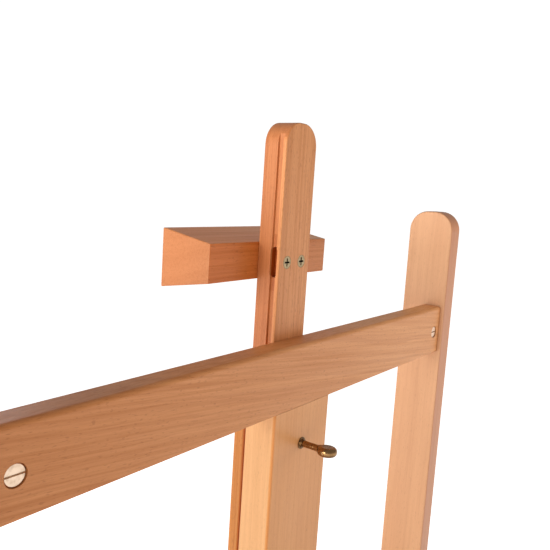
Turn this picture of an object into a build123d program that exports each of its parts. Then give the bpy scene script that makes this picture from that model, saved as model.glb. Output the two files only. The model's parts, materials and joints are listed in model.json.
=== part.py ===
"""Studio easel of the H-frame kind, in oiled beech with brass hardware.

Row frame: millimetres, +Z up, +Y towards the painter, X across the easel.
The origin is on the floor, below the middle of the base.

The H frame leans back about the pivot bolts in the runners.  Its pieces are
drawn in leaning planes: "front" is measured forward from the rear faces of the
crossbars and the column, and "up" along the uprights from the pivot bolts.
"""
from build123d import *
import math
import os

# ---------------------------------------------------------------- driving dimensions
LEAN = 4.56  # rest lean of the H frame, degrees back from vertical
EDGE = 2.0  # eased edge of every board
RUNNING_GAP = 0.5  # sideways gap between boards that turn against each other
BORE_GAP = 0.06  # radial clearance of a bolt in the hole it turns in
FIT_GAP = 0.1  # radial clearance of hardware in a hole of its own body

# base
RUNNER_LENGTH = 660.0
RUNNER_HEIGHT = 60.0
RUNNER_THICK = 28.0
FOOT_HEIGHT = 12.0
FOOT_RADIUS = 16.0
FOOT_SPREAD = 560.0  # between the front and rear feet
RAIL_HEIGHT = 50.0
RAIL_THICK = 24.0
RAIL_SPREAD = 600.0  # between the middles of the front and rear rails
PIVOT_Y = 110.0
PIVOT_Z = 52.0

# H frame
INNER_WIDTH = 602.8  # between the uprights
UPRIGHT_THICK = 26.5
UPRIGHT_DEPTH = 56.0
UPRIGHT_SETBACK = 4.4  # the uprights stand this far behind the rear faces of the crossbars
UPRIGHT_TOP_RADIUS = 23.5
CROSSBAR_HEIGHT = 57.0
CROSSBAR_THICK = 22.2
CROSSBAR_ROUND = 3.8  # rounded upper rear edge
CROSSBAR_EDGE = 1.6
CROSSBAR_LOWER_EDGE = 0.6
CROSSBAR_END_EDGE = 0.5
CROSSBAR_GAP = 0.4  # shadow line between a crossbar's end and the upright
CROSSBAR_TOP = 1381.0  # top of the upper crossbar, up from the pivot
LOWER_CROSSBAR_TOP = 285.0
UPRIGHT_TOP = CROSSBAR_TOP + 117.2
BAR_BOLT_DROP = 30.4  # crossbar bolts below the top of their bar

# column that guides the mast
COLUMN_WIDTH = 86.8
COLUMN_BACK_THICK = 32.0
CHANNEL_DEPTH = 11.2
COLUMN_EDGE = 2.6  # eased rear edges of the column
JOINT_EDGE = 2.0  # eased edges along the line between the column's back and its front strips
GUIDE_THICK = 4.9  # tongue that runs in the mast's groove
GUIDE_LEDGE = 6.0  # how far a guide strip is let into the column's back, beside the mast
STRIP_THICK = 12.0

# sliding mast and the canvas holder on it
MAST_WIDTH = 46.6
MAST_THICK = 23.3
MAST_EDGE = 1.2
MAST_TOP = CROSSBAR_TOP + 191.1
MAST_LENGTH = 1000.0
MAST_TOP_RADIUS = 20.0
MAST_GAP = 0.3  # clearance between the mast and its channel
GROOVE_DEPTH = 2.2
GROOVE_LIP = 3.3  # wood between the mast's rear face and its grooves
POCKET_LENGTH = 27.0  # pocket in each groove, level with the canvas holder
POCKET_WIDTH = 7.0
POCKET_DEPTH = 7.0
HOLDER_LENGTH = 174.2
HOLDER_DEPTH = 54.0
HOLDER_REAR = (53.5, 86.2)  # lower and upper edge of the rear face, above the crossbar's top
HOLDER_FRONT = (44.1, 95.0)  # the same for the taller front face
HOLDER_SCREW_SPACING = 22.0

# struts that set the lean
STRUT_UP = 720.0  # strut pivot, up the uprights
STRUT_WIDTH = 40.0
STRUT_THICK = 26.0
CLAMP_Y = -230.0  # clamp bolt in the strut posts
CLAMP_Z = 150.0
POST_WIDTH = 60.0
MIN_LEAN = 0.0
MAX_LEAN = 14.0
SLOT_PLAY = 2.4  # sideways room for the clamp bolt in the strut's slot

# tray and the carriage that carries it up and down the column
CARRIAGE_WIDTH = 124.0
CARRIAGE_BOTTOM = 640.0
CARRIAGE_HEIGHT = 120.0
CARRIAGE_THICK = 18.0
CARRIAGE_GAP = 0.8  # between the carriage and the column
TRAY_WIDTH = 600.0
TRAY_DEPTH = 95.0
TRAY_THICK = 18.0
LIP_HEIGHT = 40.0
LIP_THICK = 12.0
LIP_RISE = 16.0  # lip above the tray's floor
BRACKET_SIZE = 70.0
BRACKET_THICK = 18.0
BRACKET_SPACING = 60.0

# hardware
LARGE_BOLT = 4.0  # radius of the pivot, strut and clamp bolts
SMALL_BOLT = 3.0  # radius of the crossbar and rail bolts
BARREL_RADIUS = 7.2
BARREL_LENGTH = 17.0
BARREL_SINK = 1.0  # barrel nut below the mouth of its hole
BARREL_INSET = 15.4  # barrel nut from the end of its bar
SCREW_HEAD = 5.5
SCREW_SHANK = 2.2
LOCK_ROD = 2.95  # radius of the brass lock screws
LOCK_REACH = 18.5  # from the insert's flange to the lock screw's head
LOCK_DROP = 92.7  # mast lock screw below the crossbar's top

# ---------------------------------------------------------------- derived places
half_inner = INNER_WIDTH / 2
half_outer = half_inner + UPRIGHT_THICK
runner_inner = half_outer + RUNNING_GAP
runner_outer = runner_inner + RUNNER_THICK
strut_outer = half_inner - RUNNING_GAP
strut_inner = strut_outer - STRUT_THICK
runner_mid_z = FOOT_HEIGHT + RUNNER_HEIGHT / 2
runner_top = FOOT_HEIGHT + RUNNER_HEIGHT

channel_floor = COLUMN_BACK_THICK - CHANNEL_DEPTH
mast_rear = channel_floor + MAST_GAP
mast_front = mast_rear + MAST_THICK
mast_bottom = MAST_TOP - MAST_LENGTH
strip_inner = MAST_WIDTH / 2 + MAST_GAP
guide_mid = mast_rear + GROOVE_LIP + MAST_GAP + GUIDE_THICK / 2
column_bottom = LOWER_CROSSBAR_TOP
column_top = CROSSBAR_TOP - CROSSBAR_HEIGHT
column_length = column_top - column_bottom
holder_mid = CROSSBAR_TOP + (HOLDER_REAR[0] + HOLDER_REAR[1]) / 2

carriage_mid = CARRIAGE_BOTTOM + CARRIAGE_HEIGHT / 2
carriage_top = CARRIAGE_BOTTOM + CARRIAGE_HEIGHT
cheek_inner = COLUMN_WIDTH / 2 + CARRIAGE_GAP
carriage_rear_inner = -CARRIAGE_GAP
carriage_front_inner = mast_front + CARRIAGE_GAP
carriage_front_outer = carriage_front_inner + CARRIAGE_THICK
carriage_rear_outer = carriage_rear_inner - CARRIAGE_THICK
tray_front = carriage_front_outer + TRAY_DEPTH

upright_mid = UPRIGHT_DEPTH / 2 - UPRIGHT_SETBACK
pivot_level = Plane((0, PIVOT_Y, PIVOT_Z)).rotated((LEAN, 0, 0))
frame_origin = pivot_level.from_local_coords((0, -upright_mid, 0))
frame_front = pivot_level.y_dir
frame_up = pivot_level.z_dir


# ---------------------------------------------------------------- planes
def frame_point(x, front, up):
    """A point of the leaning H frame, in the row frame."""
    return frame_origin + Vector(x, 0, 0) + frame_front * front + frame_up * up


def frame_section(up, front=0.0, x=0.0):
    """Plane across the uprights: local x is across, local y is front, normal up."""
    return Plane(frame_point(x, front, up), x_dir=(1, 0, 0), z_dir=frame_up)


def frame_side(x, front=0.0, up=0.0, outward=1):
    """Plane along the side of the H frame, with its normal along X."""
    return Plane(frame_point(x, front, up), x_dir=frame_front * outward, z_dir=(outward, 0, 0))


def frame_rear(front, x=0.0, up=0.0):
    """Plane facing the rear: local x is across, local y is up the frame."""
    return Plane(frame_point(x, front, up), x_dir=(1, 0, 0), z_dir=-frame_front)


def frame_face(front, x=0.0, up=0.0):
    """Plane facing the front: local x is across, local y is down the frame."""
    return Plane(frame_point(x, front, up), x_dir=(1, 0, 0), z_dir=frame_front)


def base_side(x, y=0.0, z=0.0, outward=1):
    """Upright plane beside the base, with its normal along X."""
    return Plane((x, y, z), x_dir=(0, outward, 0), z_dir=(outward, 0, 0))


def save(node, solid):
    """Label a finished piece and write it as a node."""
    solid.label = node
    export_step(solid, f"parts/{node}.step")


def slot_box(x_size, y_size, depth):
    """Cut a straight slot into the top of a piece of hardware."""
    Box(x_size, y_size, depth, align=(Align.CENTER, Align.CENTER, Align.MAX), mode=Mode.SUBTRACT)


# ---------------------------------------------------------------- hardware
def connector_bolt(radius, length, head_radius=8.0, head_height=2.4):
    """Furniture bolt with a flat domed head and a hexagon socket; its seat is at z = 0."""
    socket_radius = 2.6
    socket_depth = 2.0
    with BuildPart() as bolt:
        with BuildSketch(Plane.XY):
            Circle(head_radius)
        extrude(amount=head_height)
        fillet(bolt.faces().sort_by(Axis.Z)[-1].edges(), head_height * 0.6)
        with BuildSketch(Plane.XY.offset(head_height)):
            RegularPolygon(socket_radius, 6)
        extrude(amount=-socket_depth, mode=Mode.SUBTRACT)
        with BuildSketch(Plane.XY):
            Circle(radius)
        extrude(amount=-length)
        chamfer(bolt.faces().sort_by(Axis.Z)[0].edges(), radius * 0.25)
    return bolt.part


def barrel_nut(bore_depth):
    """Cross dowel with a screwdriver slot in its visible end; the mouth of its hole is at z = 0."""
    with BuildPart() as nut:
        with Locations((0, 0, -BARREL_SINK)):
            Cylinder(BARREL_RADIUS, BARREL_LENGTH, align=(Align.CENTER, Align.CENTER, Align.MAX))
        chamfer(nut.faces().sort_by(Axis.Z)[-1].edges(), 0.8)
        with Locations((0, 0, -BARREL_SINK)):
            slot_box(BARREL_RADIUS * 1.9, 1.3, 1.6)
        with Locations(Plane((0, 0, -bore_depth), z_dir=(1, 0, 0))):
            Cylinder(SMALL_BOLT + FIT_GAP / 2, BARREL_RADIUS * 3, mode=Mode.SUBTRACT)
    return nut.part


def cap_nut(across, height):
    """Hexagon nut with a domed cap; its seat is at z = 0 and it is bored for a large bolt."""
    hexagon_height = height * 0.5
    cap_radius = across * 0.44
    bore_depth = height * 0.7
    with BuildPart() as nut:
        with BuildSketch(Plane.XY):
            RegularPolygon(across / 2, 6, major_radius=False)
        extrude(amount=hexagon_height)
        with BuildSketch(Plane.XY.offset(hexagon_height)):
            Circle(cap_radius)
        extrude(amount=height - hexagon_height)
        fillet(nut.faces().sort_by(Axis.Z)[-1].edges(), cap_radius * 0.85)
        with BuildSketch(Plane.XY):
            Circle(LARGE_BOLT + FIT_GAP / 2)
        extrude(amount=bore_depth, mode=Mode.SUBTRACT)
    return nut.part


def wood_screw(length):
    """Countersunk wood screw with a cross recess; its head is flush at z = 0."""
    recess_length = SCREW_HEAD * 1.3
    recess_width = 1.6
    recess_depth = 1.9
    cone_depth = SCREW_HEAD - SCREW_SHANK
    with BuildPart() as screw:
        with BuildSketch(Plane.XZ):
            with BuildLine():
                Polyline(
                    (0, 0),
                    (SCREW_HEAD, 0),
                    (SCREW_HEAD, -0.4),
                    (SCREW_SHANK, -cone_depth - 0.4),
                    (SCREW_SHANK, -length + SCREW_SHANK * 2),
                    (0, -length),
                    close=True,
                )
            make_face()
        revolve(axis=Axis.Z)
        slot_box(recess_length, recess_width, recess_depth)
        slot_box(recess_width, recess_length, recess_depth)
    return screw.part


def screw_hole(length):
    """Cutter for the hole that a wood screw fills, with the countersink's mouth at z = 0."""
    mouth = SCREW_HEAD + 0.3
    shank = SCREW_SHANK + FIT_GAP
    cone_depth = mouth - shank
    with BuildPart() as cutter:
        with BuildSketch(Plane.XZ):
            with BuildLine():
                Polyline(
                    (0, EDGE),
                    (mouth, EDGE),
                    (mouth, -0.6),
                    (shank, -cone_depth - 0.6),
                    (shank, -length - 0.5),
                    (0, -length - 0.5),
                    close=True,
                )
            make_face()
        revolve(axis=Axis.Z)
    return cutter.part


INSERT_RADIUS = 4.6
INSERT_FLANGE = 5.4
INSERT_RISE = 2.6


def lock_insert(length):
    """Brass threaded bush with a flared collar standing proud of the wood at z = 0."""
    with BuildPart() as bush:
        with BuildSketch(Plane.XZ):
            with BuildLine():
                Polyline(
                    (LOCK_ROD + BORE_GAP, INSERT_RISE),
                    (LOCK_ROD + 0.9, INSERT_RISE),
                    (LOCK_ROD + 1.3, 1.0),
                    (INSERT_FLANGE, 0.8),
                    (INSERT_FLANGE, 0),
                    (INSERT_RADIUS, 0),
                    (INSERT_RADIUS, -length),
                    (LOCK_ROD + BORE_GAP, -length),
                    close=True,
                )
            make_face()
        revolve(axis=Axis.Z)
    return bush.part


def lock_screw(depth, head_turn):
    """Brass thumb screw: a rod that reaches depth below z = 0, and a flat oval head.

    The head's plane holds the rod's axis and stands head_turn degrees from local X.
    """
    head_length = 18.0
    head_width = 18.0
    head_thick = 8.0
    neck_length = 3.0
    head_centre = LOCK_REACH + head_length / 2
    head_plane = Plane((0, 0, head_centre), x_dir=(1, 0, 0), z_dir=(0, 1, 0)).rotated((0, 0, head_turn))
    with BuildPart() as screw:
        with BuildSketch(Plane.XY.offset(-depth)):
            Circle(LOCK_ROD)
        extrude(amount=depth + LOCK_REACH + neck_length)
        chamfer(screw.faces().sort_by(Axis.Z)[0].edges(), 0.6)
        with BuildSketch(Plane.XY.offset(LOCK_REACH - neck_length)):
            Circle(LOCK_ROD)
        with BuildSketch(Plane.XY.offset(LOCK_REACH + neck_length)):
            Circle(LOCK_ROD * 1.15)
        loft()
        with BuildSketch(head_plane):
            Ellipse(head_width / 2, head_length / 2)
        extrude(amount=head_thick / 2, both=True)
        rims = screw.edges().filter_by(GeomType.ELLIPSE)
        fillet(rims, head_thick * 0.46)
    return screw.part


def washer(outer, inner, thick):
    """Flat ring standing on z = 0."""
    with BuildPart() as ring:
        with BuildSketch(Plane.XY):
            Circle(outer)
            Circle(inner, mode=Mode.SUBTRACT)
        extrude(amount=thick)
    return ring.part


def wing_nut():
    """Wing nut with a conical hub and two upswept wings; its seat is at z = 0."""
    hub_low = 8.0
    hub_high = 6.2
    hub_height = 11.0
    wing_span = 21.0
    wing_top = 21.0
    wing_thick = 3.6
    with BuildPart() as nut:
        with BuildSketch(Plane.XY):
            Circle(hub_low)
        with BuildSketch(Plane.XY.offset(hub_height)):
            Circle(hub_high)
        loft()
        with BuildSketch(Plane.XZ):
            with BuildLine():
                Polyline(
                    (hub_high * 0.9, 1.5),
                    (wing_span - 5, wing_top - 12),
                    (wing_span, wing_top - 6),
                    (wing_span - 2, wing_top),
                    (wing_span - 7, wing_top),
                    (hub_high * 0.9, hub_height),
                    close=True,
                )
            make_face()
            mirror(about=Plane.YZ)
        extrude(amount=wing_thick / 2, both=True)
        with BuildSketch(Plane.XY):
            Circle(LARGE_BOLT + BORE_GAP)
        extrude(amount=hub_height, mode=Mode.SUBTRACT)
    return nut.part


# ---------------------------------------------------------------- boards
def board(section, size_x, size_y, length, edge=EDGE):
    """Straight board with eased edges, standing on the plane of its section."""
    with BuildPart() as piece:
        with BuildSketch(section):
            Rectangle(size_x, size_y)
        extrude(amount=length)
        fillet(piece.edges(), edge)
    return piece.part


def face_edges(piece, direction):
    """Edges round the two end faces of a piece, seen along a direction."""
    faces = piece.faces().sort_by(Axis((0, 0, 0), direction))
    return faces[0].edges() + faces[-1].edges()


def cut(piece, cutter, *places):
    """Take copies of a cutter out of a finished piece."""
    with BuildPart() as result:
        add(piece)
        with Locations(*places):
            add(cutter, mode=Mode.SUBTRACT)
    return result.part


def drill(radius, depth):
    """Cutter for a plain round hole, from just above z = 0 down to depth."""
    with BuildPart() as cutter:
        with BuildSketch(Plane.XY.offset(EDGE)):
            Circle(radius)
        extrude(amount=-depth - EDGE)
    return cutter.part


def copies(solid, *places):
    """Identical pieces of hardware, as the separate solids of one node."""
    with BuildPart() as group:
        with Locations(*places):
            add(solid)
    return group.part


os.makedirs("parts", exist_ok=True)
sides = {"left": -1, "right": 1}
small_hole = SMALL_BOLT + FIT_GAP
large_hole = LARGE_BOLT + BORE_GAP
barrel_hole = drill(BARREL_RADIUS + FIT_GAP, BARREL_LENGTH + BARREL_SINK + 0.5)

# ---------------------------------------------------------------- base
rail_ys = (-RAIL_SPREAD / 2, RAIL_SPREAD / 2)
post_face = half_inner
post_thick = runner_inner - post_face
post_bottom = FOOT_HEIGHT + 2
rail_bolt_length = RUNNER_THICK + BARREL_INSET + BARREL_RADIUS + 3
rail_bolt_seats = [
    base_side(side * runner_outer, y, runner_mid_z, side) for side in sides.values() for y in rail_ys
]
post_screw_length = 38.0
post_screw_seats = [
    base_side(side * post_face, CLAMP_Y, z, -side)
    for side in sides.values()
    for z in (post_bottom + 16, runner_top - 14)
]
pivot_bolt_seats = [base_side(side * runner_outer, PIVOT_Y, PIVOT_Z, side) for side in sides.values()]
clamp_bolt_seats = [base_side(side * runner_inner, CLAMP_Y, CLAMP_Z, side) for side in sides.values()]

for name, side in sides.items():
    inner_plane = base_side(side * runner_inner, 0, runner_mid_z, side)
    with BuildPart() as runner:
        with BuildSketch(inner_plane):
            SlotOverall(RUNNER_LENGTH, RUNNER_HEIGHT)
        extrude(amount=RUNNER_THICK)
        fillet(face_edges(runner, (1, 0, 0)), EDGE)
    solid = cut(runner.part, drill(small_hole, RUNNER_THICK + EDGE), *rail_bolt_seats)
    solid = cut(solid, drill(large_hole, RUNNER_THICK + EDGE), *pivot_bolt_seats)
    solid = cut(solid, screw_hole(post_screw_length), *post_screw_seats)
    save(f"runner_{name}", solid)

    with BuildPart() as post:
        with BuildSketch(base_side(side * post_face, CLAMP_Y, 0, side)):
            with Locations((0, CLAMP_Z)):
                Circle(POST_WIDTH / 2)
            with Locations((0, (post_bottom + CLAMP_Z) / 2)):
                Rectangle(POST_WIDTH, CLAMP_Z - post_bottom)
        extrude(amount=post_thick)
        fillet(post.faces().sort_by(Axis.X)[0 if side > 0 else -1].edges(), EDGE)
    solid = cut(post.part, drill(large_hole, post_thick + EDGE), *clamp_bolt_seats)
    solid = cut(solid, screw_hole(post_screw_length), *post_screw_seats)
    save(f"strut_post_{name}", solid)

for name, y, facing in (("rear", rail_ys[0], 1), ("front", rail_ys[1], -1)):
    section = Plane((-runner_inner, y, runner_mid_z), x_dir=(0, 1, 0), z_dir=(1, 0, 0))
    nut_seats = [
        Plane((x, y + facing * RAIL_THICK / 2, runner_mid_z), x_dir=(1, 0, 0), z_dir=(0, facing, 0))
        for x in (-runner_inner + BARREL_INSET, runner_inner - BARREL_INSET)
    ]
    solid = board(section, RAIL_THICK, RAIL_HEIGHT, 2 * runner_inner)
    solid = cut(solid, drill(small_hole, rail_bolt_length + 2), *rail_bolt_seats)
    solid = cut(solid, barrel_hole, *nut_seats)
    save(f"base_rail_{name}", solid)
    save(f"base_rail_barrel_nuts_{name}", copies(barrel_nut(RAIL_THICK / 2), *nut_seats))

save("base_rail_bolts", copies(connector_bolt(SMALL_BOLT, rail_bolt_length), *rail_bolt_seats))
save("strut_post_screws", copies(wood_screw(post_screw_length), *post_screw_seats))

with BuildPart() as feet:
    with BuildSketch(Plane.XY):
        with GridLocations(2 * runner_inner + RUNNER_THICK, FOOT_SPREAD, 2, 2):
            Circle(FOOT_RADIUS * 0.8)
    extrude(amount=FOOT_HEIGHT)
    chamfer(feet.faces().group_by(Axis.Z)[0].edges(), 1.5)
save("runner_feet", feet.part)

pivot_bolt_length = runner_outer - half_inner + 10
save("pivot_bolts", copies(connector_bolt(LARGE_BOLT, pivot_bolt_length, 10, 3), *pivot_bolt_seats))
pivot_nut_seats = [base_side(side * (half_inner - 0.3), PIVOT_Y, PIVOT_Z, -side) for side in sides.values()]
save("pivot_cap_nuts", copies(cap_nut(13, 14), *pivot_nut_seats))

knob_seat = strut_inner - 0.3 - 1.6 - 0.2
clamp_bolt_length = runner_inner - knob_seat + 13
save("clamp_bolts", copies(connector_bolt(LARGE_BOLT, clamp_bolt_length, 10, 3), *clamp_bolt_seats))
washer_seats = [base_side(side * (strut_inner - 0.3), CLAMP_Y, CLAMP_Z, -side) for side in sides.values()]
save("clamp_washers", copies(washer(11.5, LARGE_BOLT + FIT_GAP, 1.6), *washer_seats))
for name, side in sides.items():
    wing_seat = base_side(side * knob_seat, CLAMP_Y, CLAMP_Z, -side)
    save(f"wing_nut_{name}", copies(wing_nut(), wing_seat))

# ---------------------------------------------------------------- H frame
bar_tops = {"upper": CROSSBAR_TOP, "lower": LOWER_CROSSBAR_TOP}
bar_bolt_length = UPRIGHT_THICK + BARREL_INSET + BARREL_RADIUS + 3
bar_bolt_seats = [
    frame_side(side * half_outer, CROSSBAR_THICK / 2, top - BAR_BOLT_DROP, side)
    for side in sides.values()
    for top in bar_tops.values()
]
bar_nut_seats = [
    frame_rear(0, side * (half_inner - BARREL_INSET), top - BAR_BOLT_DROP)
    for side in sides.values()
    for top in bar_tops.values()
]
strut_bolt_seats = [frame_side(side * half_outer, upright_mid, STRUT_UP, side) for side in sides.values()]

for name, side in sides.items():
    face_plane = frame_side(side * half_inner, 0, 0, 1)
    with BuildPart() as upright:
        with BuildSketch(face_plane):
            with Locations((upright_mid, 0)):
                Circle(UPRIGHT_DEPTH / 2)
            with Locations((upright_mid, UPRIGHT_TOP / 2)):
                Rectangle(UPRIGHT_DEPTH, UPRIGHT_TOP)
            fillet(vertices().group_by(Axis.Y)[-1], UPRIGHT_TOP_RADIUS)
        extrude(amount=side * UPRIGHT_THICK)
        fillet(face_edges(upright, (1, 0, 0)), EDGE)
    solid = cut(upright.part, drill(small_hole, UPRIGHT_THICK + EDGE), *bar_bolt_seats)
    solid = cut(solid, drill(large_hole, UPRIGHT_THICK + EDGE), *strut_bolt_seats)
    solid = cut(solid, drill(large_hole, 2 * UPRIGHT_THICK + 2 * EDGE), *pivot_bolt_seats)
    save(f"upright_{name}", solid)

for name, top in bar_tops.items():
    section = frame_side(-half_inner + CROSSBAR_GAP, CROSSBAR_THICK / 2, top - CROSSBAR_HEIGHT / 2)
    with BuildPart() as bar:
        with BuildSketch(section):
            Rectangle(CROSSBAR_THICK, CROSSBAR_HEIGHT)
            fillet(vertices().group_by(Axis.X)[0].sort_by(Axis.Y)[-1], CROSSBAR_ROUND)
            fillet(vertices().group_by(Axis.X)[-1].sort_by(Axis.Y)[-1], CROSSBAR_EDGE)
            fillet(vertices().group_by(Axis.Y)[0], CROSSBAR_LOWER_EDGE)
        extrude(amount=INNER_WIDTH - 2 * CROSSBAR_GAP)
        chamfer(face_edges(bar, (1, 0, 0)), CROSSBAR_END_EDGE)
        if name == "upper":
            with BuildSketch(frame_section(top - CROSSBAR_HEIGHT - 1, channel_floor + CHANNEL_DEPTH / 2)):
                Rectangle(2 * strip_inner, CHANNEL_DEPTH)
            extrude(amount=CROSSBAR_HEIGHT + 2, mode=Mode.SUBTRACT)
    solid = cut(bar.part, drill(small_hole, bar_bolt_length + 2), *bar_bolt_seats)
    solid = cut(solid, barrel_hole, *bar_nut_seats)
    save(f"crossbar_{name}", solid)

save("crossbar_bolts", copies(connector_bolt(SMALL_BOLT, bar_bolt_length), *bar_bolt_seats))
save("crossbar_barrel_nuts", copies(barrel_nut(CROSSBAR_THICK / 2), *bar_nut_seats))

strut_bolt_length = half_outer - strut_inner + 10
save("strut_bolts", copies(connector_bolt(LARGE_BOLT, strut_bolt_length, 10, 3), *strut_bolt_seats))
strut_nut_seats = [
    frame_side(side * (strut_inner - 0.3), upright_mid, STRUT_UP, -side) for side in sides.values()
]
save("strut_cap_nuts", copies(cap_nut(13, 14), *strut_nut_seats))

# ---------------------------------------------------------------- column
strip_width = COLUMN_WIDTH / 2 - strip_inner
guide_inner = MAST_WIDTH / 2 - GROOVE_DEPTH + MAST_GAP
guide_outer = strip_inner + GUIDE_LEDGE
guide_rear = guide_mid - GUIDE_THICK / 2
ledge_depth = COLUMN_BACK_THICK - guide_rear
ledge_mid = (COLUMN_BACK_THICK + guide_rear) / 2
mast_lock_up = CROSSBAR_TOP - LOCK_DROP
mast_lock_seat = frame_rear(0, 0, mast_lock_up)
with BuildPart() as column_back:
    with BuildSketch(frame_section(column_bottom, COLUMN_BACK_THICK / 2)):
        Rectangle(COLUMN_WIDTH, COLUMN_BACK_THICK)
    extrude(amount=column_length)
    long_edges = column_back.edges().filter_by(Axis((0, 0, 0), frame_up)).sort_by(Axis.Y)
    fillet(long_edges[:2], COLUMN_EDGE)
    fillet(long_edges[2:], JOINT_EDGE)
    with BuildSketch(frame_section(column_bottom, COLUMN_BACK_THICK - CHANNEL_DEPTH / 2)):
        Rectangle(2 * strip_inner, CHANNEL_DEPTH)
    with BuildSketch(frame_section(column_bottom, ledge_mid)):
        Rectangle(2 * guide_outer, ledge_depth)
    extrude(amount=column_length, mode=Mode.SUBTRACT)
solid = cut(column_back.part, drill(INSERT_RADIUS + FIT_GAP, COLUMN_BACK_THICK), mast_lock_seat)
save("column_back", solid)
save("mast_lock_insert", copies(lock_insert(channel_floor - 1), mast_lock_seat))
save("mast_lock_screw", copies(lock_screw(mast_rear - 0.1, -4), mast_lock_seat))

for name, side in sides.items():
    with BuildPart() as guide:
        with BuildSketch(frame_section(column_bottom, guide_mid, side * (guide_outer + guide_inner) / 2)):
            Rectangle(guide_outer - guide_inner, GUIDE_THICK)
        with BuildSketch(frame_section(column_bottom, ledge_mid, side * (strip_inner + GUIDE_LEDGE / 2))):
            Rectangle(GUIDE_LEDGE, ledge_depth)
        extrude(amount=column_length)
    save(f"guide_strip_{name}", guide.part)
    with BuildPart() as strip:
        strip_mid = side * (strip_inner + strip_width / 2)
        with BuildSketch(frame_section(column_bottom, COLUMN_BACK_THICK + STRIP_THICK / 2, strip_mid)):
            Rectangle(strip_width, STRIP_THICK)
        extrude(amount=column_length)
        fillet(strip.edges().filter_by(Axis((0, 0, 0), frame_up)), JOINT_EDGE)
    save(f"column_strip_{name}", strip.part)

# ---------------------------------------------------------------- mast and canvas holder
holder_screw_length = 45.0
holder_screw_seats = [
    frame_rear(mast_rear, side * HOLDER_SCREW_SPACING / 2, holder_mid) for side in sides.values()
]
with BuildPart() as mast:
    with BuildSketch(frame_rear(mast_rear, 0, mast_bottom)):
        with Locations((0, MAST_LENGTH / 2)):
            Rectangle(MAST_WIDTH, MAST_LENGTH)
        fillet(vertices().group_by(Axis.Y)[-1], MAST_TOP_RADIUS)
    extrude(amount=-MAST_THICK)
    fillet(face_edges(mast, frame_front), MAST_EDGE)
    with BuildSketch(frame_section(mast_bottom - 1, guide_mid)):
        with GridLocations(MAST_WIDTH, 0, 2, 1):
            Rectangle(2 * GROOVE_DEPTH, GUIDE_THICK + 2 * MAST_GAP)
    extrude(amount=MAST_LENGTH + 2, mode=Mode.SUBTRACT)
    for side in sides.values():
        with BuildSketch(frame_side(side * MAST_WIDTH / 2, guide_mid, holder_mid, side)):
            SlotOverall(POCKET_LENGTH, POCKET_WIDTH, rotation=90)
        extrude(amount=-POCKET_DEPTH, mode=Mode.SUBTRACT)
save("mast", cut(mast.part, screw_hole(holder_screw_length), *holder_screw_seats))

with BuildPart() as holder:
    with BuildSketch(frame_side(-HOLDER_LENGTH / 2, mast_front, CROSSBAR_TOP)):
        with BuildLine():
            Polyline(
                (0, HOLDER_REAR[0]),
                (HOLDER_DEPTH, HOLDER_FRONT[0]),
                (HOLDER_DEPTH, HOLDER_FRONT[1]),
                (0, HOLDER_REAR[1]),
                close=True,
            )
        make_face()
    extrude(amount=HOLDER_LENGTH)
    fillet(holder.edges(), EDGE * 0.45)
save("canvas_holder", cut(holder.part, screw_hole(holder_screw_length), *holder_screw_seats))
save("holder_screws", copies(wood_screw(holder_screw_length), *holder_screw_seats))

# ---------------------------------------------------------------- struts
strut_top = frame_point(0, upright_mid, STRUT_UP)
clamp_point = Vector(0, CLAMP_Y, CLAMP_Z)
strut_run = clamp_point - strut_top


def clamp_distance(lean):
    """Distance from the strut's pivot to the clamp bolt when the frame leans by an angle."""
    angle = math.radians(lean)
    top_y = PIVOT_Y - STRUT_UP * math.sin(angle)
    top_z = PIVOT_Z + STRUT_UP * math.cos(angle)
    return math.hypot(CLAMP_Y - top_y, CLAMP_Z - top_z)


slot_end_play = 3.0
slot_near = clamp_distance(MAX_LEAN) - LARGE_BOLT - slot_end_play
slot_far = clamp_distance(MIN_LEAN) + LARGE_BOLT + slot_end_play
strut_length = slot_far + 16
slot_width = 2 * (LARGE_BOLT + SLOT_PLAY)
for name, side in sides.items():
    strut_plane = Plane(strut_top + Vector(side * strut_inner, 0, 0), x_dir=strut_run, z_dir=(side, 0, 0))
    with BuildPart() as strut:
        with BuildSketch(strut_plane):
            Circle(STRUT_WIDTH / 2)
            with Locations((strut_length / 2, 0)):
                Rectangle(strut_length, STRUT_WIDTH)
            fillet(vertices().group_by(Axis.X)[-1], STRUT_WIDTH * 0.3)
            with Locations(((slot_near + slot_far) / 2, 0)):
                SlotOverall(slot_far - slot_near, slot_width, mode=Mode.SUBTRACT)
            Circle(large_hole, mode=Mode.SUBTRACT)
        extrude(amount=STRUT_THICK)
        fillet(face_edges(strut, (1, 0, 0)), EDGE * 0.75)
    save(f"strut_{name}", strut.part)

# ---------------------------------------------------------------- tray and its carriage
plate_screw_length = 34.0
screw_ups = (CARRIAGE_BOTTOM + 22, carriage_top - 38)
cheek_mid = (cheek_inner + CARRIAGE_WIDTH / 2) / 2
front_screw_seats = [
    frame_face(carriage_front_outer, side * cheek_mid, up) for side in sides.values() for up in screw_ups
]
rear_screw_seats = [
    frame_rear(carriage_rear_outer, side * cheek_mid, up) for side in sides.values() for up in screw_ups
]
tray_lock_seat = frame_rear(carriage_rear_outer, 0, carriage_mid)
bracket_ups = (carriage_top - TRAY_THICK - BRACKET_SIZE, carriage_top - TRAY_THICK)

solid = board(
    frame_section(CARRIAGE_BOTTOM, carriage_front_inner + CARRIAGE_THICK / 2),
    CARRIAGE_WIDTH,
    CARRIAGE_THICK,
    CARRIAGE_HEIGHT,
    EDGE * 0.6,
)
save("carriage_front", cut(solid, screw_hole(plate_screw_length), *front_screw_seats))

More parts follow.
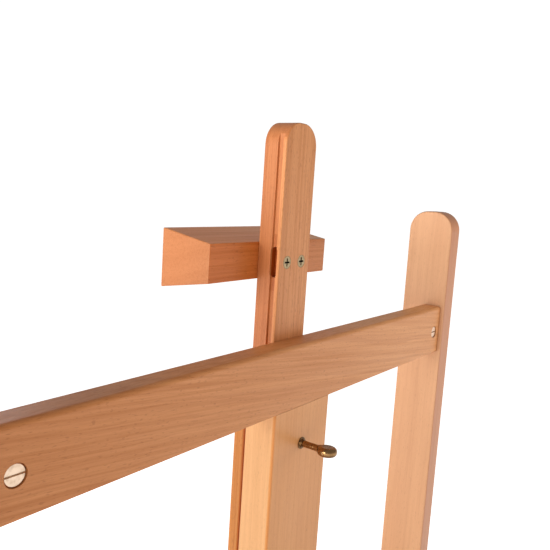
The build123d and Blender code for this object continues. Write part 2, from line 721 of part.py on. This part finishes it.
solid = board(
    frame_section(CARRIAGE_BOTTOM, carriage_rear_inner - CARRIAGE_THICK / 2),
    CARRIAGE_WIDTH,
    CARRIAGE_THICK,
    CARRIAGE_HEIGHT,
    EDGE,
)
solid = cut(solid, screw_hole(plate_screw_length), *rear_screw_seats)
save("carriage_back", cut(solid, drill(INSERT_RADIUS + FIT_GAP, CARRIAGE_THICK + EDGE), tray_lock_seat))

cheek_depth = carriage_front_inner - carriage_rear_inner
for name, side in sides.items():
    section = frame_section(
        CARRIAGE_BOTTOM, (carriage_front_inner + carriage_rear_inner) / 2, side * cheek_mid
    )
    solid = board(section, CARRIAGE_WIDTH / 2 - cheek_inner, cheek_depth, CARRIAGE_HEIGHT, EDGE * 0.4)
    solid = cut(solid, screw_hole(plate_screw_length), *front_screw_seats, *rear_screw_seats)
    save(f"carriage_cheek_{name}", solid)
save("carriage_screws", copies(wood_screw(plate_screw_length), *front_screw_seats, *rear_screw_seats))
save("tray_lock_insert", copies(lock_insert(CARRIAGE_THICK - 1), tray_lock_seat))
save("tray_lock_screw", copies(lock_screw(-carriage_rear_outer - 0.1, 20), tray_lock_seat))

save(
    "tray_shelf",
    board(
        frame_section(carriage_top - TRAY_THICK, carriage_front_outer + TRAY_DEPTH / 2),
        TRAY_WIDTH,
        TRAY_DEPTH,
        TRAY_THICK,
        EDGE * 0.5,
    ),
)
lip_bottom = carriage_top + LIP_RISE - LIP_HEIGHT
save(
    "tray_lip",
    board(
        frame_section(lip_bottom, tray_front + LIP_THICK / 2),
        TRAY_WIDTH,
        LIP_THICK,
        LIP_HEIGHT,
    ),
)
for name, side in sides.items():
    section = frame_section(
        lip_bottom,
        (carriage_front_outer + tray_front + LIP_THICK) / 2,
        side * (TRAY_WIDTH + LIP_THICK) / 2,
    )
    save(f"tray_end_{name}", board(section, LIP_THICK, TRAY_DEPTH + LIP_THICK, LIP_HEIGHT))
    bracket_rear = side * BRACKET_SPACING / 2 - BRACKET_THICK / 2
    with BuildPart() as bracket:
        with BuildSketch(frame_side(bracket_rear, carriage_front_outer, bracket_ups[1])):
            with BuildLine():
                Polyline((0, -BRACKET_SIZE), (0, 0), (BRACKET_SIZE, 0), (BRACKET_SIZE, -14))
                RadiusArc((BRACKET_SIZE, -14), (14, -BRACKET_SIZE), -BRACKET_SIZE)
                Line((14, -BRACKET_SIZE), (0, -BRACKET_SIZE))
            make_face()
        extrude(amount=BRACKET_THICK)
        fillet(face_edges(bracket, (1, 0, 0)), EDGE * 0.5)
    save(f"tray_bracket_{name}", bracket.part)
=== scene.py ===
"""H-frame easel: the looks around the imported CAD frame."""
import json
import math

import bpy
from mathutils import Matrix, Vector


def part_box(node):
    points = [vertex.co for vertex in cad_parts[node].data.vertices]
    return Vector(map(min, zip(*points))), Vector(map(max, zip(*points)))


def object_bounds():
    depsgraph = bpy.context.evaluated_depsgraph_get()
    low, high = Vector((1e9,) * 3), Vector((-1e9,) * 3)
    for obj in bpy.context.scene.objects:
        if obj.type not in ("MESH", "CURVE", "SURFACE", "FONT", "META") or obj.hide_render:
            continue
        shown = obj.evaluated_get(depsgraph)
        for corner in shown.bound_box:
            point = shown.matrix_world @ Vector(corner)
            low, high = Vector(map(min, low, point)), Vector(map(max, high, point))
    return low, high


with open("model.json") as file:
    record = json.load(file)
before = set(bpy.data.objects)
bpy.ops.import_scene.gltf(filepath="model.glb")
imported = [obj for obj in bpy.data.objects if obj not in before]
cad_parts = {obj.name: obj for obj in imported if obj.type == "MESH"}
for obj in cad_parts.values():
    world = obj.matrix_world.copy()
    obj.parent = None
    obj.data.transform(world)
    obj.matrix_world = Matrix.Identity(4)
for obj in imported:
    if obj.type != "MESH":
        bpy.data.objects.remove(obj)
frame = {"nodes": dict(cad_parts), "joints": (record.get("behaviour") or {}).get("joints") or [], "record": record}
cad_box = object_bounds()

NODES = frame["nodes"]
JOINTS = {joint["name"]: joint for joint in frame["joints"]}

# ---------------------------------------------------------------- axes of the leaning H frame
ACROSS = Vector((1, 0, 0))
FRAME_UP = Vector(JOINTS["mast_slide"]["axis"]).normalized()
FRAME_FRONT = FRAME_UP.cross(ACROSS).normalized()


def extreme(node, direction, lowest=False):
    """How far a CAD node reaches along a direction."""
    places = [vertex.co.dot(direction) for vertex in NODES[node].data.vertices]
    return min(places) if lowest else max(places)


# ---------------------------------------------------------------- node helpers
def new_material(name):
    """An empty node material, its node tree and its shader."""
    material = bpy.data.materials.new(name)
    material.use_nodes = True
    tree = material.node_tree
    tree.nodes.clear()
    output = tree.nodes.new("ShaderNodeOutputMaterial")
    shader = tree.nodes.new("ShaderNodeBsdfPrincipled")
    tree.links.new(shader.outputs["BSDF"], output.inputs["Surface"])
    return material, tree, shader


def math_node(tree, operation, first, second=None):
    """One Math node; inputs are sockets or numbers."""
    node = tree.nodes.new("ShaderNodeMath")
    node.operation = operation
    for socket, value in zip(node.inputs, (first, second)):
        if value is None:
            continue
        if isinstance(value, (int, float)):
            socket.default_value = value
        else:
            tree.links.new(value, socket)
    return node.outputs[0]


def ramp(tree, value, low, high, out_low=0.0, out_high=1.0):
    """Map a socket's range onto another, with soft ends."""
    node = tree.nodes.new("ShaderNodeMapRange")
    node.interpolation_type = "SMOOTHSTEP"
    tree.links.new(value, node.inputs["Value"])
    node.inputs["From Min"].default_value = low
    node.inputs["From Max"].default_value = high
    node.inputs["To Min"].default_value = out_low
    node.inputs["To Max"].default_value = out_high
    return node.outputs["Result"]


def mix_colour(tree, factor, first, second, blend="MIX"):
    """Mix two colours; each is a socket or an RGB tuple."""
    node = tree.nodes.new("ShaderNodeMix")
    node.data_type = "RGBA"
    node.blend_type = blend
    sockets = (node.inputs[0], node.inputs[6], node.inputs[7])
    for socket, value in zip(sockets, (factor, first, second)):
        if isinstance(value, bpy.types.NodeSocket):
            tree.links.new(value, socket)
        elif isinstance(value, (int, float)):
            socket.default_value = value
        else:
            socket.default_value = (*value, 1.0)
    return node.outputs[2]


def noise(tree, vector, scale, detail=3.0, roughness=0.55):
    """Noise in the given coordinates."""
    node = tree.nodes.new("ShaderNodeTexNoise")
    node.inputs["Scale"].default_value = scale
    node.inputs["Detail"].default_value = detail
    node.inputs["Roughness"].default_value = roughness
    tree.links.new(vector, node.inputs["Vector"])
    return node.outputs["Fac"]


def stretched(tree, vector, squeeze):
    """Scale coordinates, so that a pattern is long where the number is small."""
    node = tree.nodes.new("ShaderNodeVectorMath")
    node.operation = "MULTIPLY"
    tree.links.new(vector, node.inputs[0])
    node.inputs[1].default_value = squeeze
    return node.outputs[0]


def bump(tree, shader, height, strength, distance):
    """Add relief to a shader; the distance is in metres."""
    node = tree.nodes.new("ShaderNodeBump")
    node.inputs["Strength"].default_value = strength
    node.inputs["Distance"].default_value = distance
    tree.links.new(height, node.inputs["Height"])
    tree.links.new(node.outputs["Normal"], shader.inputs["Normal"])


# ---------------------------------------------------------------- beech
BEECH_PALE = (0.76, 0.395, 0.185)
BEECH_MID = (0.665, 0.32, 0.14)
BEECH_DEEP = (0.50, 0.205, 0.078)
PORE = (0.26, 0.085, 0.028)
END_GRAIN = (0.42, 0.21, 0.095)
RING_SPACING = 0.0042  # metres between growth rings
PITH_DISTANCE = 0.09  # from a board's middle to the middle of its tree
SEED_STEP = (0.037, 1.31, 0.073)  # how far each seed moves a board in the wood: across, along, through
NO_TINT = (1.0, 1.0, 1.0)

# How dense each pattern is across a board, along it and through it; a small number makes long marks
DRIFT = (9, 1.8, 9)
RIPPLE = (40, 16, 40)
CLOUDS = (14, 1.5, 14)
STREAKS = (420, 6, 420)
THREADS = (1300, 26, 1300)
PORES = (2300, 190, 2300)
RAYS = (900, 230, 1500)
DRIFT_DEPTH = 0.03  # metres that the rings drift along a board
RING_STRETCH = 1.5  # how fast a ring's strength changes along the grain


def board_coordinates(tree, grain, flat, seed, skew):
    """Coordinates with Y along the grain and Z out of the wide face, moved by the seed; and the normal."""
    across = flat.cross(grain)
    turn = math.radians(skew)
    run = grain * math.cos(turn) + across * math.sin(turn)
    coordinates = tree.nodes.new("ShaderNodeTexCoord")
    mapping = tree.nodes.new("ShaderNodeMapping")
    mapping.vector_type = "POINT"
    mapping.inputs["Rotation"].default_value = Matrix((flat.cross(run), run, flat)).to_euler()
    mapping.inputs["Location"].default_value = [seed * step for step in SEED_STEP]
    tree.links.new(coordinates.outputs["Object"], mapping.inputs["Vector"])
    return mapping.outputs["Vector"], coordinates.outputs["Normal"]


def growth_rings(tree, place, seed, wave):
    """Uneven, wavy rings about a pith line beside the board, from 0 to 1."""
    parts = tree.nodes.new("ShaderNodeSeparateXYZ")
    tree.links.new(place, parts.inputs[0])
    drift = noise(tree, stretched(tree, place, DRIFT), 1.0, detail=2.0, roughness=0.5)
    ripple = noise(tree, stretched(tree, place, RIPPLE), 1.0, detail=2.0, roughness=0.5)
    across, _, through = [seed * step for step in SEED_STEP]
    pith_side = PITH_DISTANCE * math.cos(seed * 2.1)
    side = math_node(tree, "ADD", parts.outputs["X"], pith_side - across)
    depth = math_node(tree, "ADD", parts.outputs["Z"], PITH_DISTANCE - through)
    squares = [math_node(tree, "MULTIPLY", part, part) for part in (side, depth)]
    radius = math_node(tree, "SQRT", math_node(tree, "ADD", *squares))
    radius = math_node(tree, "ADD", radius, math_node(tree, "MULTIPLY", drift, DRIFT_DEPTH))
    radius = math_node(tree, "ADD", radius, math_node(tree, "MULTIPLY", ripple, wave))
    ring_place = tree.nodes.new("ShaderNodeCombineXYZ")
    tree.links.new(math_node(tree, "DIVIDE", radius, RING_SPACING), ring_place.inputs["X"])
    along = math_node(tree, "MULTIPLY", parts.outputs["Y"], RING_STRETCH)
    tree.links.new(along, ring_place.inputs["Y"])
    return ramp(tree, noise(tree, ring_place.outputs[0], 1.0, detail=2.0, roughness=0.6), 0.36, 0.68)


def facing(tree, normal, direction):
    """How squarely a surface faces along a direction, from 0 to 1."""
    node = tree.nodes.new("ShaderNodeVectorMath")
    node.operation = "DOT_PRODUCT"
    tree.links.new(normal, node.inputs[0])
    node.inputs[1].default_value = direction
    return math_node(tree, "ABSOLUTE", node.outputs["Value"])


def position(tree, place, direction):
    """How far a point lies along a direction."""
    node = tree.nodes.new("ShaderNodeVectorMath")
    node.operation = "DOT_PRODUCT"
    tree.links.new(place, node.inputs[0])
    node.inputs[1].default_value = direction
    return node.outputs["Value"]


def between(tree, value, low, high, softness):
    """One between two values and zero outside them."""
    rise = ramp(tree, value, low, low + softness)
    fall = ramp(tree, value, high - softness, high, 1.0, 0.0)
    return math_node(tree, "MULTIPLY", rise, fall)


def beech(node, grain, flat, seed, plank):
    """Oiled beech. grain is the board's long direction and flat its wide face's normal."""
    material, tree, shader = new_material("beech_" + node)
    skew = plank.get("skew", 0.8 * math.sin(seed))
    place, normal = board_coordinates(tree, grain, flat, seed, skew)

    rings = growth_rings(tree, place, seed, plank.get("wave", 0.003))
    clouds = noise(tree, stretched(tree, place, CLOUDS), 1.0, detail=2.0)
    streaks = noise(tree, stretched(tree, place, STREAKS), 1.0, detail=4.0, roughness=0.62)
    threads = noise(tree, stretched(tree, place, THREADS), 1.0, detail=2.0, roughness=0.6)
    pores = noise(tree, stretched(tree, place, PORES), 1.0, detail=1.0, roughness=0.5)
    rays = noise(tree, stretched(tree, place, RAYS), 1.0, detail=0.0)

    base = mix_colour(tree, ramp(tree, clouds, 0.3, 0.7), BEECH_PALE, BEECH_MID)
    figure = math_node(tree, "MULTIPLY", rings, plank.get("figure", 0.25))
    base = mix_colour(tree, figure, base, BEECH_DEEP)
    marks = plank.get("marks", 1.0)
    base = mix_colour(tree, ramp(tree, streaks, 0.40, 0.75, 0.0, 0.5 * marks), base, BEECH_DEEP)
    base = mix_colour(tree, ramp(tree, threads, 0.45, 0.8, 0.0, 0.4 * marks), base, BEECH_DEEP)
    base = mix_colour(tree, ramp(tree, pores, 0.62, 0.8, 0.0, 0.4 * marks), base, PORE)
    base = mix_colour(tree, ramp(tree, rays, 0.68, 0.8, 0.0, 0.26 * marks), base, PORE)

    end_share = ramp(tree, facing(tree, normal, grain), 0.2, 0.9, 0.0, 0.5)
    base = mix_colour(tree, end_share, base, END_GRAIN)
    flat_share = ramp(tree, facing(tree, normal, flat), 0.3, 0.9)
    tint = plank.get("tint", NO_TINT)
    point = tree.nodes.new("ShaderNodeTexCoord").outputs["Object"]
    # Painted light: a colour gradient along the grain, lighter or darker towards the far end as light falls along
    # the board
    if "far_light_tint" in plank:
        ends = (extreme(node, grain, lowest=True), extreme(node, grain))
        light_gradient_share = ramp(tree, position(tree, point, grain), *ends)
        tint = mix_colour(tree, light_gradient_share, tint, plank["far_light_tint"])
    base = mix_colour(tree, 1.0, base, tint, "MULTIPLY")
    # Painted light and shade: each mark tints the wood lighter or darker where the board lies lit or in shade
    for tarnish_and_painted_light, softness, bounds in plank.get("painted_light", ()):
        share = 1.0
        for direction, low, high in bounds:
            inside = between(tree, position(tree, point, direction), low, high, softness)
            share = math_node(tree, "MULTIPLY", inside, share)
        base = mix_colour(tree, share, base, tarnish_and_painted_light, "MULTIPLY")
    # Painted light and shade: the narrow faces get a further tint, lighter or darker than the wide faces
    edge = mix_colour(tree, 1.0, base, plank.get("edge", NO_TINT), "MULTIPLY")
    base = mix_colour(tree, flat_share, edge, base)

    tone = tree.nodes.new("ShaderNodeHueSaturation")
    tone.inputs["Value"].default_value = plank.get("value", 1.0 + 0.05 * math.sin(seed * 2.4))
    tone.inputs["Saturation"].default_value = plank.get("warmth", 1.0 + 0.04 * math.cos(seed))
    tree.links.new(base, tone.inputs["Color"])
    tree.links.new(tone.outputs["Color"], shader.inputs["Base Color"])

    tree.links.new(ramp(tree, streaks, 0.3, 0.8, 0.4, 0.54), shader.inputs["Roughness"])
    shader.inputs["Coat Weight"].default_value = 0.12
    shader.inputs["Coat Roughness"].default_value = 0.32
    shader.inputs["Specular IOR Level"].default_value = 0.4
    relief = math_node(tree, "ADD", threads, math_node(tree, "MULTIPLY", streaks, 1.2))
    bump(tree, shader, relief, strength=0.2, distance=0.00015)
    return material


# ---------------------------------------------------------------- metals, rubber, plastic
RECESS_SHADE = (0.035, 0.028, 0.02)
RECESS_START = 0.0003  # metres below a screw's head
RECESS_END = 0.001


def metal(name, colour, tarnish_and_painted_light, roughness, screws=None):
    """Plated or solid metal with faint tarnish and fine turning marks.

    With the name of a node of screws that point to the front, their recesses are dark.
    """
    material, tree, shader = new_material(name)
    coordinates = tree.nodes.new("ShaderNodeTexCoord")
    place = coordinates.outputs["Object"]
    patches = noise(tree, place, scale=260.0, detail=4.0, roughness=0.6)
    fine = noise(tree, place, scale=2400.0, detail=2.0)
    base = mix_colour(tree, ramp(tree, patches, 0.42, 0.75, 0.0, 0.7), colour, tarnish_and_painted_light)
    if screws is not None:
        head = extreme(screws, FRAME_FRONT, lowest=True)
        depth = position(tree, place, FRAME_FRONT)
        share = ramp(tree, depth, head + RECESS_START, head + RECESS_END)
        base = mix_colour(tree, share, base, RECESS_SHADE)
    tree.links.new(base, shader.inputs["Base Color"])
    shader.inputs["Metallic"].default_value = 1.0
    worn = ramp(tree, patches, 0.3, 0.8, roughness, roughness + 0.16)
    tree.links.new(worn, shader.inputs["Roughness"])
    bump(tree, shader, fine, strength=0.12, distance=0.0001)
    return material


def dull(name, colour, other, roughness, grain_size):
    """Rubber or plastic with a fine moulded texture; a large grain_size makes a finer one."""
    material, tree, shader = new_material(name)
    coordinates = tree.nodes.new("ShaderNodeTexCoord")
    place = coordinates.outputs["Object"]
    patches = noise(tree, place, scale=90.0, detail=3.0)
    fine = noise(tree, place, scale=grain_size, detail=2.0)
    base = mix_colour(tree, ramp(tree, patches, 0.3, 0.8), colour, other)
    tree.links.new(base, shader.inputs["Base Color"])
    tree.links.new(ramp(tree, fine, 0.2, 0.8, roughness - 0.1, roughness), shader.inputs["Roughness"])
    bump(tree, shader, fine, strength=0.3, distance=0.0002)
    return material


def dress(node, material):
    """Give a CAD node one material."""
    slots = NODES[node].data.materials
    slots.clear()
    slots.append(material)


LENGTHWAYS = Vector((0, 1, 0))
UPWARDS = Vector((0, 0, 1))


def strut_axis(node):
    """The direction of a strut, from its upper to its lower end."""
    low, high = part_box(node)
    return Vector((0, low.y - high.y, low.z - high.z)).normalized()


def wood_boards():
    """Every board with its grain direction and the normal of its wide face."""
    boards = {
        "column_back": (FRAME_UP, FRAME_FRONT),
        "mast": (FRAME_UP, FRAME_FRONT),
        "carriage_front": (FRAME_UP, FRAME_FRONT),
        "carriage_back": (FRAME_UP, FRAME_FRONT),
        "crossbar_upper": (ACROSS, FRAME_FRONT),
        "crossbar_lower": (ACROSS, FRAME_FRONT),
        "canvas_holder": (ACROSS, FRAME_FRONT),
        "tray_lip": (ACROSS, FRAME_FRONT),
        "tray_shelf": (ACROSS, FRAME_UP),
        "base_rail_front": (ACROSS, LENGTHWAYS),
        "base_rail_rear": (ACROSS, LENGTHWAYS),
    }
    pairs = {
        "upright": FRAME_UP,
        "column_strip": FRAME_UP,
        "carriage_cheek": FRAME_UP,
        "tray_bracket": FRAME_UP,
        "tray_end": FRAME_FRONT,
        "runner": LENGTHWAYS,
        "strut_post": UPWARDS,
    }
    for side in ("left", "right"):
        for name, grain in pairs.items():
            boards[f"{name}_{side}"] = (grain, ACROSS)
        strut = "strut_" + side
        boards[strut] = (strut_axis(strut), ACROSS)
    return boards


def reach(node, direction):
    """A direction with the least and the greatest place of a CAD node along it."""
    return direction, extreme(node, direction, lowest=True), extreme(node, direction)


# A painted light mark is a tint, the softness of its edge in metres, and the bounds that it keeps to
def joint_shade(direction, place):
    """Painted shade along a joint: darker colour where the joint's crease lies in shade."""
    width = 0.0025
    return (0.68, 0.36, 0.22), width, [(direction, place - width, place + width)]


def pocket_painted_shade():
    """Painted shade in the pocket in the mast's grooves: darker, redder colour inside the recess, where shade
    falls.
    """
    softness = 0.0008
    skin = 0.0012  # the mast's own faces stay clear of the painted shade by this much
    front, low, high = reach("mast", FRAME_FRONT)
    floor = extreme("guide_strip_right", ACROSS, lowest=True)
    bounds = [
        (ACROSS, -floor, floor),
        (front, low + skin, high - skin),
        reach("canvas_holder", FRAME_UP),
    ]
    return (0.62, 0.32, 0.17), softness, bounds


def painted_rear_edge(node, side, tint, width, softness=0.0003):
    """A strip of painted light and shade along a board's rear edge, on one side, tinted lighter or darker."""
    outer = side * extreme(node, ACROSS)
    rear = extreme(node, FRAME_FRONT, lowest=True)
    reach_in = softness * 4
    bounds = [(ACROSS, outer - reach_in, outer + reach_in), (FRAME_FRONT, rear, rear + width)]
    return tint, softness, bounds


SIDES = (-1, 1)
# Painted highlight: a lighter strip along the mast's rear edges, on its sides
MAST_LIP_HIGHLIGHT = (1.22, 1.34, 1.34)
# Painted shade: a darker, redder tint for the column back's rounded rear edges
COLUMN_EDGE_SHADE = (0.95, 0.76, 0.56)
MAST_LIP_HIGHLIGHTS = [painted_rear_edge("mast", side, MAST_LIP_HIGHLIGHT, width=0.0034) for side in SIDES]
COLUMN_EDGE_SHADES = [
    painted_rear_edge("column_back", side, COLUMN_EDGE_SHADE, width=0.0026, softness=0.0006) for side in SIDES
]
JOINT_FRONT = extreme("column_strip_left", FRAME_FRONT, lowest=True)
# Painted shade along the joint of the column's back and strips, and at the crossbar's ends beside the uprights
COLUMN_JOINT_SHADE = [joint_shade(FRAME_FRONT, JOINT_FRONT)]
BAR_END_SHADE = [joint_shade(ACROSS, end) for end in reach("crossbar_upper", ACROSS)[1:]]

# What sets boards from different planks apart; beech() has a default for each key left out:
#   value, warmth    lightness and saturation
#   figure, wave     strength of the ring figure, and its waves in metres
#   skew             degrees that the grain runs askew
#   marks            strength of the fine marks
#   tint, far_light_tint   the board's tint, and another towards which it changes along the grain as a painted light gradient
#   edge             a further tint of the narrow faces, as painted light and shade: lighter or darker than the wide faces
#   painted_light    the painted highlights and shade on the board
UPRIGHT_PLANK = {
    "value": 1.08,
    "warmth": 0.96,
    "figure": 0.06,
    "marks": 0.5,
    "tint": (0.865, 0.88, 0.91),
    "edge": (0.84, 0.65, 0.56),
}
STRIP_PLANK = {
    "value": 0.93,
    "warmth": 1.14,
    "figure": 0.3,
    "tint": (0.87, 0.78, 0.68),
    "painted_light": COLUMN_JOINT_SHADE,
}
PLANKS = {
    "mast": {
        "value": 0.97,
        "warmth": 1.07,
        "figure": 0.36,
        "wave": 0.002,
        "marks": 1.2,
        "tint": (0.97, 0.87, 0.87),
        "edge": (0.86, 0.78, 0.78),
        "painted_light": [pocket_painted_shade(), *MAST_LIP_HIGHLIGHTS],
    },
    "canvas_holder": {
        "value": 0.92,
        "warmth": 1.12,
        # Painted shade: the wide faces darker and redder, most at the left end beside the mast; the edge tint
        # lifts the narrow faces back as painted light
        "tint": (0.87, 0.58, 0.52),
        "far_light_tint": (0.83, 0.68, 0.7),
        "edge": (1.16, 1.5, 1.84),
    },
    "crossbar_upper": {
        "value": 0.96,
        "warmth": 1.08,
        "figure": 0.42,
        "wave": 0.006,
        "skew": -7.0,
        # Painted light: the bar is darker and redder at its left end and lighter towards the right
        "tint": (0.9, 0.78, 0.74),
        "far_light_tint": (1.1, 1.1, 1.14),
        "painted_light": BAR_END_SHADE,
    },
    "column_back": {
        "value": 1.06,
        "warmth": 1.05,
        "figure": 0.12,
        "wave": 0.002,
        "tint": (0.98, 0.95, 0.9),
        "marks": 0.55,
        "edge": (1.09, 1.28, 1.43),
        "painted_light": COLUMN_JOINT_SHADE + COLUMN_EDGE_SHADES,
    },
    "column_strip_left": STRIP_PLANK,
    "column_strip_right": STRIP_PLANK,
    "upright_left": {**UPRIGHT_PLANK, "value": 0.98},
    "upright_right": UPRIGHT_PLANK,
}

for seed, (node, (grain, flat)) in enumerate(sorted(wood_boards().items()), start=1):
    dress(node, beech(node, grain, flat, seed, PLANKS.get(node, {})))

# The brass is darkened partly for its antique finish, partly as painted shade for the dark surroundings that it
# reflects
brass = metal("brass", (0.34, 0.195, 0.085), (0.16, 0.078, 0.031), 0.2)
antique_shaded_brass = metal("brass_bush", (0.2, 0.115, 0.05), (0.1, 0.05, 0.02), 0.3)
bolt_brass = metal("brass_plate", (0.86, 0.66, 0.5), (0.62, 0.44, 0.3), 0.3)
ZINC = (0.46, 0.35, 0.2)
ZINC_STAIN = (0.3, 0.22, 0.12)
ZINC_ROUGHNESS = 0.34
zinc = metal("yellow_zinc", ZINC, ZINC_STAIN, ZINC_ROUGHNESS)
holder_zinc = metal("yellow_zinc_recessed", ZINC, ZINC_STAIN, ZINC_ROUGHNESS, "holder_screws")
rubber = dull("rubber", (0.028, 0.027, 0.026), (0.05, 0.048, 0.046), 0.8, 900.0)
guide_plastic = dull("guide_plastic", (0.05, 0.026, 0.014), (0.08, 0.04, 0.02), 0.6, 1200.0)
SLOT_MATERIALS = {"brass": brass, "zinc_screw": zinc, "rubber": rubber, "guide": guide_plastic}


def hardware_material(node, slot):
    """The material of a node that isn't wood."""
    if node == "holder_screws":
        return holder_zinc
    if slot == "brass" and ("bolt" in node or "barrel" in node):
        return bolt_brass
    if slot == "brass" and "insert" in node:
        return antique_shaded_brass
    return SLOT_MATERIALS[slot]


for entry in frame["record"]["subparts"]:
    if entry["material_slot"] in SLOT_MATERIALS:
        dress(entry["node"], hardware_material(entry["node"], entry["material_slot"]))

# ---------------------------------------------------------------- camera
CAMERA_ACROSS = -0.4853  # left of the easel's middle
CAMERA_BEHIND = 0.3096  # behind the rear face of the crossbar
CAMERA_ABOVE = 0.1346  # above the crossbar's top, along the uprights
CAMERA_TURN = math.radians(53.73)  # from the easel's front towards +X
CAMERA_DIP = math.radians(4.85)
CAMERA_LENS = 43.35

rear_face = extreme("crossbar_upper", FRAME_FRONT, lowest=True)
bar_top = extreme("crossbar_upper", FRAME_UP)
camera_data = bpy.data.cameras.new("camera")
camera_data.lens = CAMERA_LENS
camera_data.sensor_width = 36.0
camera = bpy.data.objects.new("camera", camera_data)
bpy.context.scene.collection.objects.link(camera)
camera.location = (
    ACROSS * CAMERA_ACROSS
    + FRAME_FRONT * (rear_face - CAMERA_BEHIND)
    + FRAME_UP * (bar_top + CAMERA_ABOVE)
)
view_direction = Vector(
    (
        math.sin(CAMERA_TURN) * math.cos(CAMERA_DIP),
        math.cos(CAMERA_TURN) * math.cos(CAMERA_DIP),
        -math.sin(CAMERA_DIP),
    )
)
camera.rotation_euler = view_direction.to_track_quat("-Z", "Y").to_euler()
bpy.context.scene.camera = camera


# ---------------------------------------------------------------- light and floor
def area_light(name, place, target, size, power, colour=(1, 1, 1), shine=True):
    """A square softbox pointed at a place; without shine it shows in no reflection."""
    data = bpy.data.lights.new(name, "AREA")
    data.shape = "SQUARE"
    data.size = size
    data.energy = power
    data.color = colour
    light = bpy.data.objects.new(name, data)
    bpy.context.scene.collection.objects.link(light)
    light.visible_glossy = shine
    light.location = place
    light.rotation_euler = (Vector(target) - Vector(place)).to_track_quat("-Z", "Y").to_euler()


UP_THE_EASEL = 0.8  # share of the height that the lights aim at
middle = Vector((0, 0, cad_box[1][2] * UP_THE_EASEL))
WARM = (1.0, 0.95, 0.89)
WARMER = (1.0, 0.93, 0.85)
area_light("key", (-6.0, 0.6, 2.5), middle, size=2.8, power=334.0, colour=WARM)
area_light("right_rear", (1.0, -0.6, 1.6), middle, size=0.5, power=3.9, colour=WARMER, shine=False)
area_light("front", (0.6, 3.2, 2.4), middle, size=2.2, power=25.0)

BACKDROP_WHITE = 1.05
CEILING = 0.34  # strength of the backdrop's light from above
HORIZON = 0.45  # and from the sides


def studio_world():
    """A white backdrop; the light it gives comes mostly from the horizon, little from the ceiling."""
    world = bpy.data.worlds.new("studio")
    world.use_nodes = True
    tree = world.node_tree
    tree.nodes.clear()
    coordinates = tree.nodes.new("ShaderNodeTexCoord")
    parts = tree.nodes.new("ShaderNodeSeparateXYZ")
    tree.links.new(coordinates.outputs["Generated"], parts.inputs[0])
    seen = tree.nodes.new("ShaderNodeBackground")
    seen.inputs["Color"].default_value = (1, 1, 1, 1)
    seen.inputs["Strength"].default_value = BACKDROP_WHITE
    light = tree.nodes.new("ShaderNodeBackground")
    light.inputs["Color"].default_value = (1.0, 0.97, 0.94, 1)
    height = ramp(tree, parts.outputs["Z"], 0.0, 0.75, HORIZON, CEILING)
    tree.links.new(height, light.inputs["Strength"])
    path = tree.nodes.new("ShaderNodeLightPath")
    mix = tree.nodes.new("ShaderNodeMixShader")
    tree.links.new(path.outputs["Is Camera Ray"], mix.inputs[0])
    tree.links.new(light.outputs[0], mix.inputs[1])
    tree.links.new(seen.outputs[0], mix.inputs[2])
    output = tree.nodes.new("ShaderNodeOutputWorld")
    tree.links.new(mix.outputs[0], output.inputs["Surface"])
    return world


bpy.context.scene.world = studio_world()
bpy.context.scene.view_settings.view_transform = "Standard"

FLOOR_RADIUS = 30.0
FLOOR_SIDES = 96
FLOOR_NEAR = 1.3  # the plain floor fades into the backdrop's white between these distances
FLOOR_FAR = 2.3


def studio_floor():
    """A pale round floor that turns into the white backdrop away from the easel."""
    mesh = bpy.data.meshes.new("floor")
    turns = [2 * math.pi * side / FLOOR_SIDES for side in range(FLOOR_SIDES)]
    rim = [(FLOOR_RADIUS * math.cos(turn), FLOOR_RADIUS * math.sin(turn), 0.0) for turn in turns]
    mesh.from_pydata(rim, [], [tuple(range(FLOOR_SIDES))])
    floor = bpy.data.objects.new("floor", mesh)
    bpy.context.scene.collection.objects.link(floor)
    material, tree, shader = new_material("floor_paper")
    coordinates = tree.nodes.new("ShaderNodeTexCoord")
    distance = tree.nodes.new("ShaderNodeVectorMath")
    distance.operation = "LENGTH"
    tree.links.new(coordinates.outputs["Object"], distance.inputs[0])
    shader.inputs["Base Color"].default_value = (0.9, 0.9, 0.9, 1)
    shader.inputs["Roughness"].default_value = 0.9
    shader.inputs["Specular IOR Level"].default_value = 0.2
    shader.inputs["Emission Color"].default_value = (1, 1, 1, 1)
    glow = ramp(tree, distance.outputs["Value"], FLOOR_NEAR, FLOOR_FAR, 0.0, 0.8)
    tree.links.new(glow, shader.inputs["Emission Strength"])
    mesh.materials.append(material)
    return floor


studio_floor()
